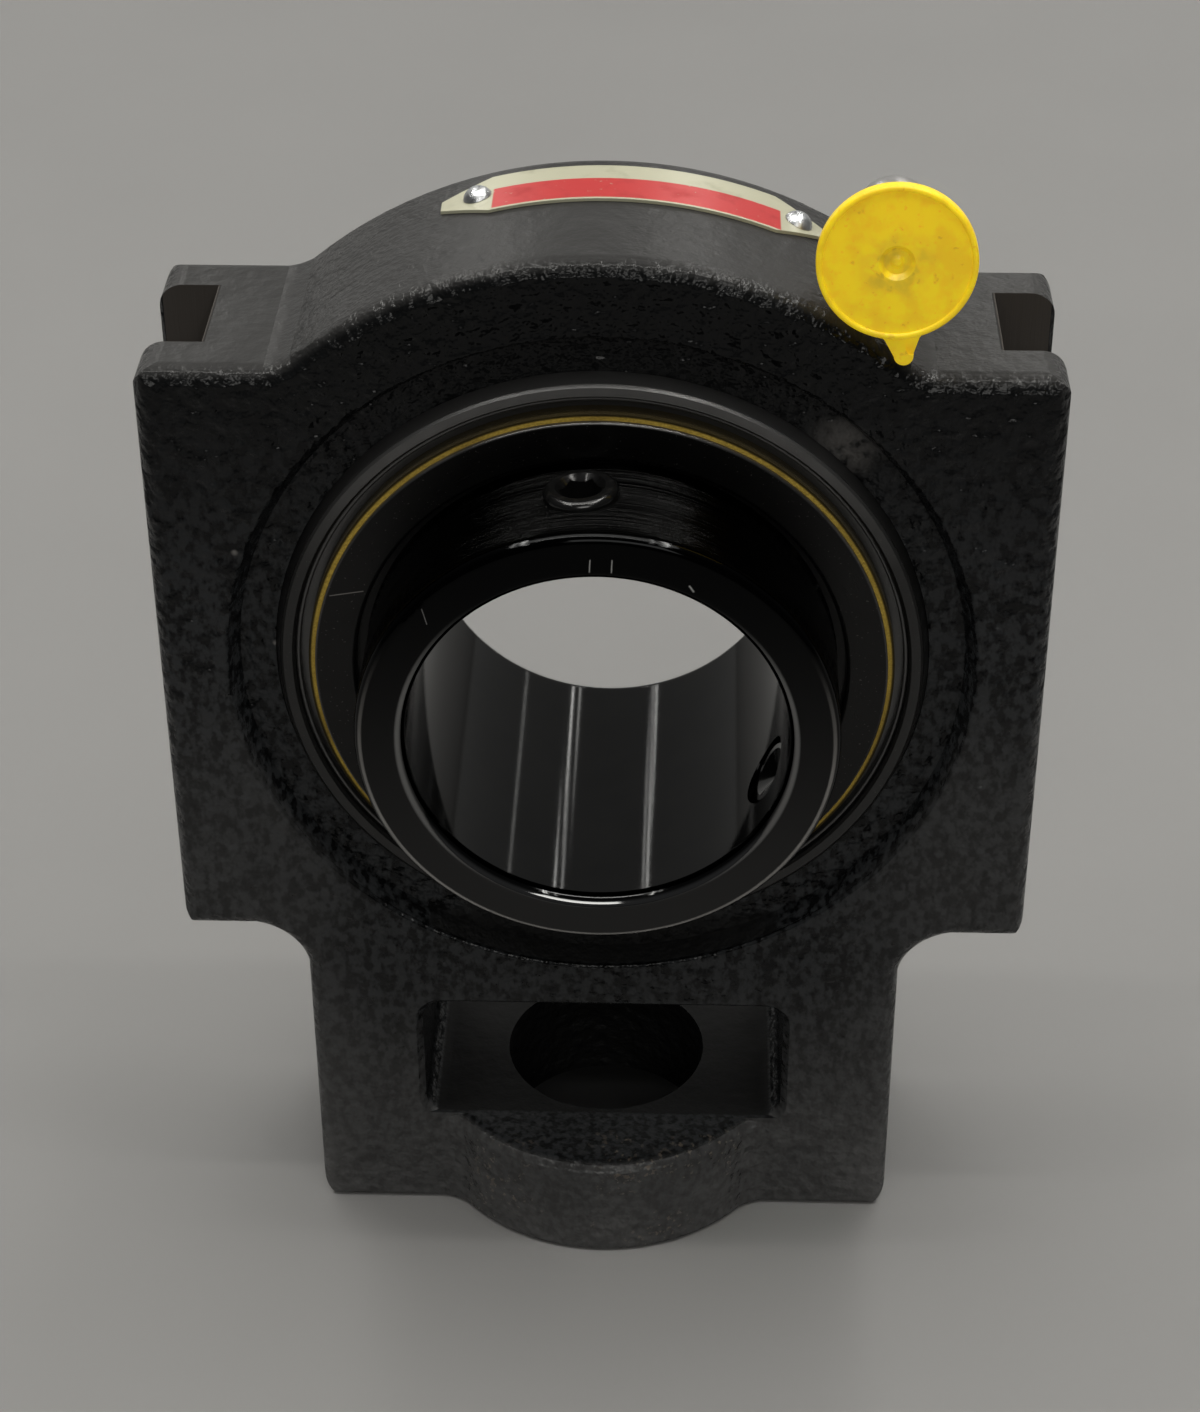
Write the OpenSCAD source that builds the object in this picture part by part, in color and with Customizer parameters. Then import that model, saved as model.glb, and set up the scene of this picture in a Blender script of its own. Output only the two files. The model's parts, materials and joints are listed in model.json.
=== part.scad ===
// Take-up bearing unit: a cast housing that slides between two rails and is drawn along by a screw,
// carrying a self-aligning ball bearing insert with seals, set screws and a grease fitting.
// Millimetres. The origin is the centre of the bearing, the shaft runs along Y, the collar faces -Y,
// and the take-up screw enters from below, along Z.

/* [Bearing insert] */
// Bore for the shaft
bore_d = 49.2125; // [46:0.0125:52]
// Wall of the inner ring, from the bore to its outside
collar_wall = 6.5; // [5.8:0.1:7.5]
// Reach of the inner ring in front of the bearing's centre
collar_front = 32.7; // [31:0.1:40]
// Reach of the inner ring behind the bearing's centre
collar_rear = 19.05; // [18.2:0.05:26]
// Rounding on the outer edges of the inner ring
collar_round = 1.3; // [0.5:0.1:2]
// Rounding where the bore meets the end faces
bore_round = 1.8; // [0.5:0.1:2.4]
// Diameter of the spherical outside of the outer ring
sphere_d = 90; // [86:0.5:100]
// Width of the outer ring
outer_ring_w = 30; // [28:0.5:33]
// Iron left between the bore and the inner raceway
inner_race_wall = 4.05; // [3.2:0.05:4.8]
// Iron left between the outer raceway and the spherical outside
outer_race_wall = 3.65; // [3:0.05:4.5]
// Radial play between a ball and each raceway
race_play = 0.1; // [0.05:0.01:0.2]
// Gap between the cage and the rings
cage_gap = 1.4; // [0.8:0.1:2]
// Rim of the cage on each side of the balls
cage_rim = 1.75; // [1.2:0.05:2.4]
// Play of a ball in its cage pocket
pocket_play = 0.2; // [0.1:0.05:0.4]
// Diameter of the lock pin
lock_pin_d = 4; // [3:0.1:5]
// Reach of the lock pin out of the spherical outside
lock_pin_reach = 2; // [1:0.1:2.6]
// Depth of the lock pin in the outer ring
lock_pin_depth = 2.6; // [1.5:0.1:2.8]

/* [Seals] */
// Width of the outer ring's flat face
ring_face = 1.9; // [1.4:0.1:2.6]
// Chamfer on the edges of the outer ring's faces
ring_edge = 0.35; // [0.1:0.05:0.6]
// Depth of the counterbore that takes a shield
shield_depth = 2.8; // [2.2:0.1:3.6]
// Sheet thickness of a shield
shield_t = 0.7; // [0.5:0.05:1]
// Drop of a shield's lip below the ring's face
shield_drop = 0.8; // [0.3:0.1:1.4]
// Step from the counterbore down to the land inside the outer ring
land_step = 1.5; // [1:0.1:2]
// Gap between a shield's inner edge and the inner ring
shield_gap = 2.9; // [2.2:0.1:3.6]
// Radial gap between a felt and its shield's lip
felt_gap = 1.2; // [0.8:0.1:1.6]
// Reach of a felt past its flinger
felt_step = 0.9; // [0.5:0.1:1.4]
// Thickness of a felt
felt_t = 2.45; // [2:0.05:3]
// Running gap between a felt and its shield
felt_play = 0.1; // [0.05:0.05:0.3]
// Sheet thickness of a flinger
flinger_t = 0.7; // [0.5:0.05:1]
// Radial room between the inner ring and a flinger's bend
flinger_dish = 1.9; // [1.4:0.1:2.4]
// Rounding of the edges of the pressed discs, as a share of their sheet
sheet_round = 0.4; // [0.1:0.05:0.4]

/* [Set screws] */
// Thread diameter of a set screw
set_screw_d = 9.525; // [8:0.025:10]
// Hex socket of a set screw, across flats
set_screw_af = 4.7625; // [4:0.0125:5.5]
// Mouth of the hex socket, countersunk
set_screw_mouth = 6.4; // [5.6:0.1:6.4]
// Depth of the hex socket
set_screw_socket = 4; // [3:0.1:5]
// Height of a set screw over the collar
set_screw_proud = 1.1; // [0.4:0.1:2]
// Tip of a set screw, measured from the bore's wall
set_screw_tip = 0.3; // [0.1:0.1:1]
// Distance of the set screws from the collar's front face
set_screw_setback = 10.7; // [9:0.1:11]
// Direction of the first set screw, from +X towards +Z
set_screw_angle = 94; // [60:1:120]
// Angle between the two set screws
set_screw_spread = 120; // [90:1:150]

/* [Housing] */
// Thickness of the cast body
body_t = 31.75; // [29:0.25:36]
// Width of the spherical seat
seat_w = 25.4; // [23:0.1:28]
// Gap between the spherical seat and the outer ring
seat_play = 0.1; // [0.05:0.01:0.2]
// Width of the recess floor round the seat
recess_floor = 4.7; // [3:0.1:6]
// Slope of the recess wall, from floor to face
recess_draft = 1.2; // [0.5:0.1:2.5]
// Iron over the recess at the arch
arch_rim = 10.5; // [8:0.1:13]
// Iron between the spherical seat and a guide slot
groove_wall = 5.4; // [4.5:0.1:8]
// Depth of a guide slot
groove_depth = 8.1; // [6:0.1:10]
// Width of a guide slot
groove_w = 16; // [12:0.5:18]
// Height of the shoulders over the bearing's centre
rail_up = 44.3; // [41:0.1:48]
// Reach of the guide rails below the bearing's centre
rail_down = 43.5; // [40:0.1:46]
// Width of the neck under the rails
neck_w = 83.4; // [76:0.2:92]
// Iron between the recess and the pocket
pocket_web = 7.65; // [5:0.05:12]
// Width of the take-up pocket
pocket_w = 51.6; // [44:0.2:60]
// Height of the take-up pocket
pocket_h = 20.35; // [16:0.05:30]
// Thickness of the end wall under the pocket
end_wall = 16.7; // [12:0.1:22]
// Hole for the take-up screw
screw_hole_d = 29.1; // [24:0.1:32]
// Iron round the take-up screw's hole
boss_wall = 12.15; // [9:0.05:15]

/* [Cast edges] */
// Rounding where the recess meets the front and rear faces
recess_edge = 0.6; // [0.2:0.1:1.2]
// Chamfer along the mouths of the guide slots
slot_edge = 0.6; // [0.2:0.1:1.2]
// Chamfer round the mouths of the take-up pocket
pocket_edge = 0.9; // [0.3:0.1:1.5]
// Rounding along the front and rear edges of the body
cast_edge = 2.4; // [1.5:0.1:3]
// Rounding on the corners of the rails and the foot
corner_round = 3.4; // [2:0.1:5]
// Rounding along the edges of the foot
foot_edge = 1; // [0.5:0.1:2.2]
// Rounding on the upper rim of the end wall's boss
boss_edge = 1.8; // [0.5:0.1:2.5]
// Hollow rounding between arch and shoulder
shoulder_fillet = 10; // [7:0.5:12]
// Hollow rounding between rail and neck
neck_fillet = 8.5; // [5:0.5:10]
// Hollow rounding between boss and neck
boss_fillet = 8; // [5:0.5:10]
// Rounding in the corners of the pocket
pocket_round = 2.8; // [1:0.1:4]

/* [Nameplate] */
// Thickness of the nameplate
plate_t = 0.4; // [0.3:0.1:1]
// Width of the nameplate
plate_w = 10; // [8:0.1:12]
// Length of the nameplate's parallel part
plate_l = 36.4; // [30:0.2:42]
// Length of each pointed end
plate_tip = 6.2; // [4:0.1:8]
// Width of the blunt end of each tip
plate_blunt = 2.6; // [1:0.1:5]
// Turn of the nameplate round the arch, from the top towards +X
plate_turn = 3.65; // [-4:0.05:4]
// Distance of the nameplate's middle behind the centre plane
plate_back = 6.5; // [4:0.1:8]
// Turn of the pair of rivets round the arch, from the top towards +X
rivet_turn = 4.35; // [3.4:0.05:4.6]
// Inset of the rivets from the ends of the nameplate
rivet_inset = 4; // [3.4:0.1:5]
// Head diameter of a rivet
rivet_head_d = 3.8; // [3:0.1:4.5]
// Head height of a rivet
rivet_head_h = 1.3; // [0.8:0.1:1.8]
// Shank diameter of a rivet
rivet_d = 2; // [1.4:0.1:2.6]
// Shank length of a rivet
rivet_l = 6; // [4:0.1:8]

/* [Grease fitting] */
// Turn of the fitting round the arch, from the top towards +X
fitting_angle = 37.6; // [33.5:0.1:39.5]
// Thread diameter of the fitting
fitting_d = 9.8; // [8:0.1:10.5]
// Depth of the fitting in the housing
fitting_depth = 6.5; // [5:0.1:8]
// Height of the hexagon's underside over its flat on the housing
fitting_stand = 1.7; // [0.5:0.1:3]
// Hexagon of the fitting, across flats
fitting_af = 11.1; // [10.8:0.1:13]
// Height of the hexagon
fitting_hex_h = 4; // [3.2:0.1:6]
// Diameter of the elbow
elbow_d = 10.2; // [9:0.1:10.6]
// Height of the elbow's centre over the hexagon
elbow_rise = 5.5; // [5.2:0.1:8]
// Upward tilt of the nipple
nipple_tilt = 5.2; // [0:0.1:20]
// Sideways turn of the nipple
nipple_turn = -1.7; // [-15:0.1:15]
// Distance of the nipple's tip from the elbow's centre
nipple_reach = 14.5; // [14:0.1:17]
// Length of the nipple
nipple_l = 7; // [6.5:0.1:7.4]
// Diameter of the nipple's head
nipple_head_d = 6.5; // [6:0.1:7]
// Diameter of the nipple's neck
nipple_neck_d = 4.9; // [4.5:0.1:5.2]
// Diameter of the check ball
check_ball_d = 2.3; // [2:0.05:2.5]
// Diameter of the grease passage
passage_d = 2.8; // [2.6:0.1:3.2]

/* [Cap] */
// Diameter of the cap's disc
cap_d = 19.6; // [16:0.1:21]
// Thickness of the cap's disc
cap_t = 1.6; // [1:0.1:2.4]
// Width of the raised rim
cap_rim_w = 0.8; // [0.8:0.1:1.5]
// Height of the raised rim
cap_rim_h = 0.3; // [0.2:0.1:1]
// Rounding of the disc's edge
cap_edge = 0.35; // [0.1:0.05:0.4]
// Wall of the cup that grips the nipple
cap_cup_wall = 1.3; // [0.8:0.1:2]
// Length of the cup
cap_cup_l = 5.6; // [4:0.1:6]
// Gap between the cup and the nipple
cap_play = 0.15; // [0.1:0.05:0.3]
// Diameter of the dimple in the disc's face
cap_dimple_d = 4.4; // [3:0.1:6]
// Depth of the dimple
cap_dimple_depth = 0.6; // [0.2:0.1:0.7]
// Reach of the tongue past the disc
tongue_l = 3.5; // [2:0.1:4]
// Width of the tongue at its root
tongue_root = 5.2; // [3.4:0.1:6]
// Width of the tongue at its tip
tongue_tip = 2.4; // [1.5:0.1:2.8]
// Hollow rounding between the tongue's left side and the disc
tongue_fillet = 1.4; // [0.6:0.1:2]
// Depth of the step in the tongue's right half
tongue_step = 0.7; // [0.3:0.1:0.9]
// Turn of the tongue towards +X
tongue_turn = 6.4; // [-20:0.1:20]

/* [Hidden] */
$fn = 96;
// Overshoot of a cut past the face that it opens
over = 1;
// Play of pressed and screwed pieces in their seats
fit_play = 0.05;
ball_count = 10;

bore_r = bore_d / 2;
collar_r = bore_r + collar_wall;
sphere_r = sphere_d / 2;
ring_half = outer_ring_w / 2;

// Balls run midway between the bottoms of the two raceways
inner_race_r = bore_r + inner_race_wall;
outer_race_r = sphere_r - outer_race_wall;
pitch_r = (inner_race_r + outer_race_r) / 2;
race_r = (outer_race_r - inner_race_r) / 2;
ball_r = race_r - race_play;

// Radii through a seal, from the ring's face inwards
face_r = sqrt(sphere_r * sphere_r - ring_half * ring_half);
lip_r = face_r - ring_face;
land_r = lip_r - land_step;
shield_lip_r = lip_r - shield_t;
felt_r = shield_lip_r - felt_gap;
flinger_r = felt_r - felt_step;
bend_r = collar_r + flinger_dish;

// Distances of the seal's layers from the centre plane
hub_gap = 0.3;
shield_y = ring_half - shield_depth;
felt_y = shield_y + shield_t + felt_play;
flinger_y = felt_y + felt_t;
hub_y = felt_y + hub_gap;

// Grease groove round the outer ring, beside the raceway
lube_w = 2.4;
lube_depth = 0.8;
lube_hole_d = 2;
lube_y = race_r + lube_w / 4;
lube_floor_r = sqrt(sphere_r * sphere_r - lube_y * lube_y) - lube_depth;

set_screw_r = set_screw_d / 2;
set_screw_y = set_screw_setback - collar_front;
set_screw_chamfer = 0.7;
set_screw_edge = 1;

body_half = body_t / 2;
seat_r = sphere_r + seat_play;
seat_half = seat_w / 2;
seat_edge_r = sqrt(seat_r * seat_r - seat_half * seat_half);
recess_floor_r = seat_edge_r + recess_floor;
recess_r = recess_floor_r + recess_draft;
arch_r = recess_r + arch_rim;
groove_x = seat_r + groove_wall;
body_half_w = groove_x + groove_depth;
neck_half = neck_w / 2;
pocket_top = -recess_r - pocket_web;
pocket_floor = pocket_top - pocket_h;
foot_z = pocket_floor - end_wall;
screw_hole_r = screw_hole_d / 2;
boss_r = screw_hole_r + boss_wall;
// How far the hidden roots of fillets and blocks run into the body
root = 8;
// How far a fillet's hollow bites below the faces that it joins
blend_bite = 0.15;

// Room round the insert in its loading slots
loading_play = 0.3;
// Lock pin slot in the seat, and the wider groove that spreads the grease
pin_slot_front = 4;
seat_groove = [-2, 8.5];
seat_groove_depth = 0.8;

plate_half_l = plate_l / 2;
plate_end = plate_half_l + plate_tip;
rivet_x = plate_end - rivet_inset;
rivet_angle = asin(rivet_x / arch_r);

// The fitting stands on a flat that is cut level with the arch
fitting_x = arch_r * sin(fitting_angle);
flat_rise = 0.2;
flat_margin = 0.4;
fitting_flat = sqrt(arch_r * arch_r - fitting_x * fitting_x) + flat_rise;
fitting_flat_r = fitting_af / 2 / cos(30) + flat_margin;
hex_z = fitting_flat + fitting_stand;
elbow_z = hex_z + fitting_hex_h + elbow_rise;
elbow_r = elbow_d / 2;
branch_r = elbow_r - 0.5;
branch_chamfer = 0.8;
// Feed drilled from the elbow to the spring's room
feed_d = passage_d - 0.8;
nipple_root = nipple_reach - nipple_l;
check_ball_r = check_ball_d / 2;
check_ball_at = nipple_reach - 0.9;
spring_end = check_ball_at - check_ball_r;
spring_start = nipple_root + 1.2;
spring_turns = 6;
spring_wire = 0.3;

cap_back = nipple_reach + 0.4;
cap_r = cap_d / 2;
cup_in_r = nipple_head_d / 2 + cap_play;

function ball_angle(i) = 90 + 360 / ball_count * (i - 0.5);
function ball_name(i) = str("ball_", i < 10 ? "0" : "", i);

// Placing helpers

// Turns a revolved profile of radius and height so that its height runs along Y
module about_y() {
    rotate([-90, 0, 0]) rotate_extrude() children();
}

// Extrudes an outline drawn in X and Z along Y, centred
module along_y(depth) {
    rotate([90, 0, 0]) linear_extrude(depth, center = true) children();
}

// Extrudes an outline drawn in Y and Z along X, centred
module along_x(length) {
    rotate([90, 0, 90]) linear_extrude(length, center = true) children();
}

// Turns +Z to a direction in the XZ plane, measured from +X towards +Z
module radial(angle) {
    rotate([0, 90 - angle, 0]) children();
}

module both_sides() {
    children();
    mirror([1, 0, 0]) children();
}

module front_and_rear() {
    children();
    mirror([0, 1, 0]) children();
}

// Shape helpers

module rounded_rect(low, high, r) {
    translate([low.x + r, low.y]) square([high.x - low.x - 2 * r, high.y - low.y]);
    translate([low.x, low.y + r]) square([high.x - low.x, high.y - low.y - 2 * r]);
    for (x = [low.x + r, high.x - r], y = [low.y + r, high.y - r])
        translate([x, y]) circle(r);
}

// A block with its own rounding on each set of edges: round_y on those along Y, and so on
module cast_block(low, high, round_x, round_y, round_z) {
    middle = (low + high) / 2;
    size = high - low;
    intersection() {
        translate([0, middle.y, 0]) along_y(size.y)
            rounded_rect([low.x, low.z], [high.x, high.z], round_y);
        translate([0, 0, low.z]) linear_extrude(size.z)
            rounded_rect([low.x, low.y], [high.x, high.y], round_z);
        translate([middle.x, 0, 0]) along_x(size.x)
            rounded_rect([low.y, low.z], [high.y, high.z], round_x);
    }
}

// What rounding takes off a corner: towards gives the sides on which the material lies
module corner_waste(corner, towards, r) {
    centre = corner + r * towards;
    difference() {
        translate(corner + (r - over) / 2 * towards) square(r + over, center = true);
        translate(centre) circle(r);
    }
}

// Section of a cutter that hollows a corner and rounds over the low and high rims of the hollow
module hollow_section(r, half, edge_low, edge_high) {
    translate([0, -half - over]) square([r, 2 * half + 2 * over]);
    corner_waste([r, -half], [1, 1], edge_low);
    corner_waste([r, half], [1, -1], edge_high);
}

// Housing

module rails() {
    cast_block([-body_half_w, -body_half, -rail_down], [body_half_w, body_half, rail_up],
        cast_edge, corner_round, cast_edge);
}

module arch() {
    intersection() {
        about_y() rounded_rect([seat_edge_r - root, -body_half], [arch_r, body_half], cast_edge);
        translate([-arch_r, -body_t, rail_up - root]) cube([2 * arch_r, 2 * body_t, arch_r]);
    }
}

module shoulder_blend() {
    reach = arch_r + shoulder_fillet;
    centre = [sqrt(reach * reach - pow(rail_up + shoulder_fillet, 2)), rail_up + shoulder_fillet];
    on_arch = centre * arch_r / reach;
    difference() {
        along_y(body_t) polygon([
            on_arch, centre, [centre.x, rail_up], [centre.x, rail_up - root], on_arch * (1 - root / arch_r)
        ]);
        translate([centre.x, 0, centre.y]) about_y()
            hollow_section(shoulder_fillet + blend_bite, body_half, cast_edge, cast_edge);
    }
}

module neck() {
    cast_block([-neck_half, -body_half, foot_z], [neck_half, body_half, root - rail_down],
        foot_edge, corner_round, cast_edge);
}

module neck_blend() {
    centre = [neck_half + neck_fillet, -rail_down - neck_fillet];
    difference() {
        along_y(body_t) polygon([
            [neck_half, centre.y], centre, [centre.x, -rail_down], [centre.x, cast_edge - rail_down],
            [neck_half - cast_edge, cast_edge - rail_down], [neck_half - cast_edge, centre.y]
        ]);
        translate([centre.x, 0, centre.y]) about_y()
            hollow_section(neck_fillet + blend_bite, body_half, cast_edge, cast_edge);
    }
}

// Round boss of the end wall, coaxial with the take-up screw
module end_boss() {
    translate([0, 0, foot_z]) rotate_extrude() difference() {
        square([boss_r, end_wall]);
        corner_waste([boss_r, 0], [-1, 1], foot_edge);
        corner_waste([boss_r, end_wall], [-1, -1], boss_edge);
    }
}

// Upright fillet between boss and neck, rounded over with their rims
module boss_blend() {
    reach = boss_r + boss_fillet;
    centre = [sqrt(reach * reach - pow(body_half + boss_fillet, 2)), -body_half - boss_fillet];
    on_boss = centre * boss_r / reach;
    translate([0, 0, foot_z + end_wall / 2]) difference() {
        linear_extrude(end_wall, center = true) polygon([
            on_boss, centre, [centre.x, -body_half], [centre.x, root / 2 - body_half],
            on_boss * (1 - root / boss_r)
        ]);
        translate(centre) rotate_extrude()
            hollow_section(boss_fillet + blend_bite, end_wall / 2, foot_edge, boss_edge);
    }
}

// Spherical seat with the round recesses in front of it and behind it
module seat_cut() {
    about_y() {
        intersection() {
            circle(seat_r);
            translate([0, -seat_half]) square([seat_r, seat_w]);
        }
        for (side = [-1, 1]) {
            polygon([
                [0, side * (seat_half - over)], [seat_edge_r - over, side * (seat_half - over)],
                [seat_edge_r, side * seat_half], [recess_floor_r, side * seat_half],
                [recess_r, side * (body_half - recess_edge)], [recess_r, side * (body_half + over)],
                [0, side * (body_half + over)]
            ]);
            corner_waste([recess_r, side * body_half], [1, -side], recess_edge);
        }
        translate([seat_edge_r - over, seat_groove[0]])
            square([seat_r + seat_groove_depth - seat_edge_r + over, seat_groove[1] - seat_groove[0]]);
    }
}

// Slots at the rear through which the insert is turned into its seat
module loading_slots() {
    loading_r = seat_r + loading_play;
    half = ring_half + loading_play;
    intersection() {
        rotate([-90, 0, 0]) cylinder(r = loading_r, h = body_half);
        translate([-loading_r, 0, -half]) cube([2 * loading_r, body_half, 2 * half]);
    }
}

module pin_slot() {
    half = lock_pin_d / 2 + 2 * fit_play;
    translate([-half, -pin_slot_front, 0])
        cube([2 * half, pin_slot_front + body_half, sphere_r + lock_pin_reach + 4 * fit_play]);
}

module pocket_cut() {
    along_y(2 * boss_r) rounded_rect([-pocket_w / 2, pocket_floor], [pocket_w / 2, pocket_top], pocket_round);
}

// Chamfer round the front mouth of the pocket, down to the boss
module pocket_mouth() {
    half = pocket_w / 2;
    corner_x = half - pocket_round;
    low_z = pocket_floor + pocket_round;
    high_z = pocket_top - pocket_round;
    grow = pocket_edge + over;
    y_out = -body_half - over;
    y_in = -body_half + pocket_edge + blend_bite;
    intersection() {
        union() {
            for (x = [-corner_x, corner_x], z = [low_z, high_z])
                translate([x, y_out, z]) rotate([-90, 0, 0])
                    cylinder(r1 = pocket_round + grow, r2 = pocket_round - blend_bite, h = y_in - y_out);
            translate([0, 0, low_z]) linear_extrude(high_z - low_z) polygon([
                [-half - grow, y_out], [half + grow, y_out],
                [half - blend_bite, y_in], [blend_bite - half, y_in]
            ]);
            along_x(2 * corner_x) polygon([
                [y_out, low_z], [y_out, pocket_top + grow], [y_in, pocket_top - blend_bite], [y_in, low_z]
            ]);
        }
        translate([-pocket_w, -boss_r, pocket_floor]) cube([2 * pocket_w, boss_r, 2 * pocket_h]);
    }
}

// Slot with a flared mouth
module guide_slot() {
    half = groove_w / 2;
    mouth = slot_edge + over;
    translate([0, 0, -rail_down - over]) linear_extrude(rail_up + rail_down + 2 * over) polygon([
        [groove_x, -half], [body_half_w - slot_edge, -half], [body_half_w + over, -half - mouth],
        [body_half_w + over, half + mouth], [body_half_w - slot_edge, half], [groove_x, half]
    ]);
}

// Flat, tapped hole and grease passage under the fitting
module fitting_seat() {
    translate([fitting_x, 0, 0]) {
        translate([0, 0, fitting_flat]) cylinder(r = fitting_flat_r, h = arch_r);
        translate([0, 0, fitting_flat - fitting_depth - over])
            cylinder(d = fitting_d + 2 * fit_play, h = fitting_depth + 2 * over);
        cylinder(d = passage_d, h = fitting_flat);
    }
}

module at_rivets() {
    for (side = [-1, 1])
        translate([0, plate_back, 0]) rotate([0, rivet_turn + side * rivet_angle, 0]) children();
}

module rivet_holes() {
    at_rivets() translate([0, 0, arch_r - rivet_l - over])
        cylinder(d = rivet_d + 2 * fit_play, h = rivet_l + 2 * over + plate_t);
}

module housing() {
    color([0.09, 0.09, 0.1]) difference() {
        union() {
            rails();
            arch();
            both_sides() shoulder_blend();
            neck();
            both_sides() neck_blend();
            end_boss();
            both_sides() front_and_rear() boss_blend();
        }
        seat_cut();
        loading_slots();
        pin_slot();
        pocket_cut();
        front_and_rear() pocket_mouth();
        translate([0, 0, foot_z - over]) cylinder(r = screw_hole_r, h = end_wall + 2 * over);
        both_sides() guide_slot();
        fitting_seat();
        rivet_holes();
    }
}

// Nameplate and its rivets

module nameplate() {
    half_w = plate_w / 2;
    half_b = plate_blunt / 2;
    color([0.8, 0.78, 0.68]) difference() {
        rotate([0, plate_turn, 0]) intersection() {
            about_y() translate([arch_r + fit_play, plate_back - half_w]) square([plate_t, plate_w]);
            translate([0, plate_back, 0]) linear_extrude(2 * arch_r) polygon([
                [-plate_half_l, -half_w], [plate_half_l, -half_w], [plate_end, -half_b], [plate_end, half_b],
                [plate_half_l, half_w], [-plate_half_l, half_w], [-plate_end, half_b], [-plate_end, -half_b]
            ]);
        }
        rivet_holes();
    }
}

module plate_rivets() {
    seat = arch_r + fit_play + plate_t;
    head_r = rivet_head_d / 2;
    // Radius of the ball whose cap is a rivet's head
    dome_r = (head_r * head_r + rivet_head_h * rivet_head_h) / (2 * rivet_head_h);
    color([0.78, 0.79, 0.8]) at_rivets() {
        translate([0, 0, arch_r - rivet_l]) cylinder(d = rivet_d, h = rivet_l + plate_t + 2 * fit_play);
        translate([0, 0, seat + fit_play]) intersection() {
            translate([0, 0, rivet_head_h - dome_r]) sphere(dome_r);
            cylinder(r = head_r, h = rivet_head_h);
        }
    }
}

// Grease fitting

// Local frame of the nipple: +Z along it from the elbow's centre, +Y up
module at_nipple() {
    translate([fitting_x, 0, elbow_z]) rotate([90 - nipple_tilt, 0, nipple_turn]) children();
}

// Branch of the elbow with the nipple on its end
module nipple() {
    neck_r = nipple_neck_d / 2;
    head_r = nipple_head_d / 2;
    // Where the head starts, is full and narrows again
    start = nipple_reach - 4;
    full = nipple_reach - 2.8;
    narrow = nipple_reach - 1.8;
    rotate_extrude() polygon([
        [0, 0], [branch_r, 0], [branch_r, nipple_root - branch_chamfer],
        [branch_r - branch_chamfer, nipple_root], [neck_r, nipple_root], [neck_r, start],
        [head_r, full], [head_r, narrow], [head_r / 2, nipple_reach], [0, nipple_reach]
    ]);
}

// Passage in the nipple, wider where the spring and ball sit
module nipple_passage() {
    mouth_r = check_ball_r - 0.25;
    rotate_extrude() polygon([
        [0, 0], [feed_d / 2, 0], [feed_d / 2, spring_start], [passage_d / 2, spring_start],
        [passage_d / 2, check_ball_at], [mouth_r, nipple_reach], [mouth_r, nipple_reach + over],
        [0, nipple_reach + over]
    ]);
}

// Hexagon with its corners turned off at both ends
module fitting_hex() {
    across_corners = fitting_af / cos(30);
    flat_r = fitting_af / 2;
    corner_r = across_corners / 2 + over;
    fall = (corner_r - flat_r) * tan(30);
    intersection() {
        cylinder(d = across_corners, h = fitting_hex_h, $fn = 6);
        rotate_extrude() polygon([
            [0, 0], [flat_r, 0], [corner_r, fall], [corner_r, fitting_hex_h - fall], [flat_r, fitting_hex_h],
            [0, fitting_hex_h]
        ]);
    }
}

module grease_fitting() {
    thread_end = fitting_flat - fitting_depth;
    color([0.62, 0.62, 0.6]) difference() {
        union() {
            translate([fitting_x, 0, 0]) {
                translate([0, 0, thread_end]) cylinder(d = fitting_d, h = hex_z - thread_end + over);
                translate([0, 0, hex_z]) fitting_hex();
                rotate_extrude() {
                    translate([0, hex_z + over]) square([elbow_r, elbow_z - hex_z - over]);
                    intersection() {
                        translate([0, elbow_z]) circle(elbow_r);
                        translate([0, elbow_z - over]) square([elbow_r, elbow_r + 2 * over]);
                    }
                }
            }
            at_nipple() nipple();
        }
        at_nipple() nipple_passage();
        translate([fitting_x, 0, thread_end - over]) cylinder(d = passage_d, h = elbow_z - thread_end + over);
    }
}

// Coil swept along a helix, one ring of points at a time
module fitting_spring() {
    sides = 6;
    steps = spring_turns * 12;
    wire_r = spring_wire / 2;
    coil_r = passage_d / 2 - wire_r - 2 * fit_play;
    length = spring_end - spring_start - spring_wire;
    function on_wire(i, k) = let (a = 360 * i / 12, t = 360 * k / sides, r = coil_r + wire_r * cos(t))
        [r * cos(a), r * sin(a), spring_start + wire_r + length * i / steps + wire_r * sin(t)];
    points = [for (i = [0 : steps], k = [0 : sides - 1]) on_wire(i, k)];
    walls = [for (i = [0 : steps - 1], k = [0 : sides - 1]) let (n = (k + 1) % sides)
        [i * sides + k, (i + 1) * sides + k, (i + 1) * sides + n, i * sides + n]];
    start_face = [[for (k = [0 : sides - 1]) k]];
    end_face = [[for (k = [0 : sides - 1]) steps * sides + sides - 1 - k]];
    color([0.7, 0.7, 0.72]) at_nipple() polyhedron(points, concat(walls, start_face, end_face));
}

module fitting_ball() {
    color([0.8, 0.8, 0.82]) at_nipple() translate([0, 0, check_ball_at]) sphere(check_ball_r);
}

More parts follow.
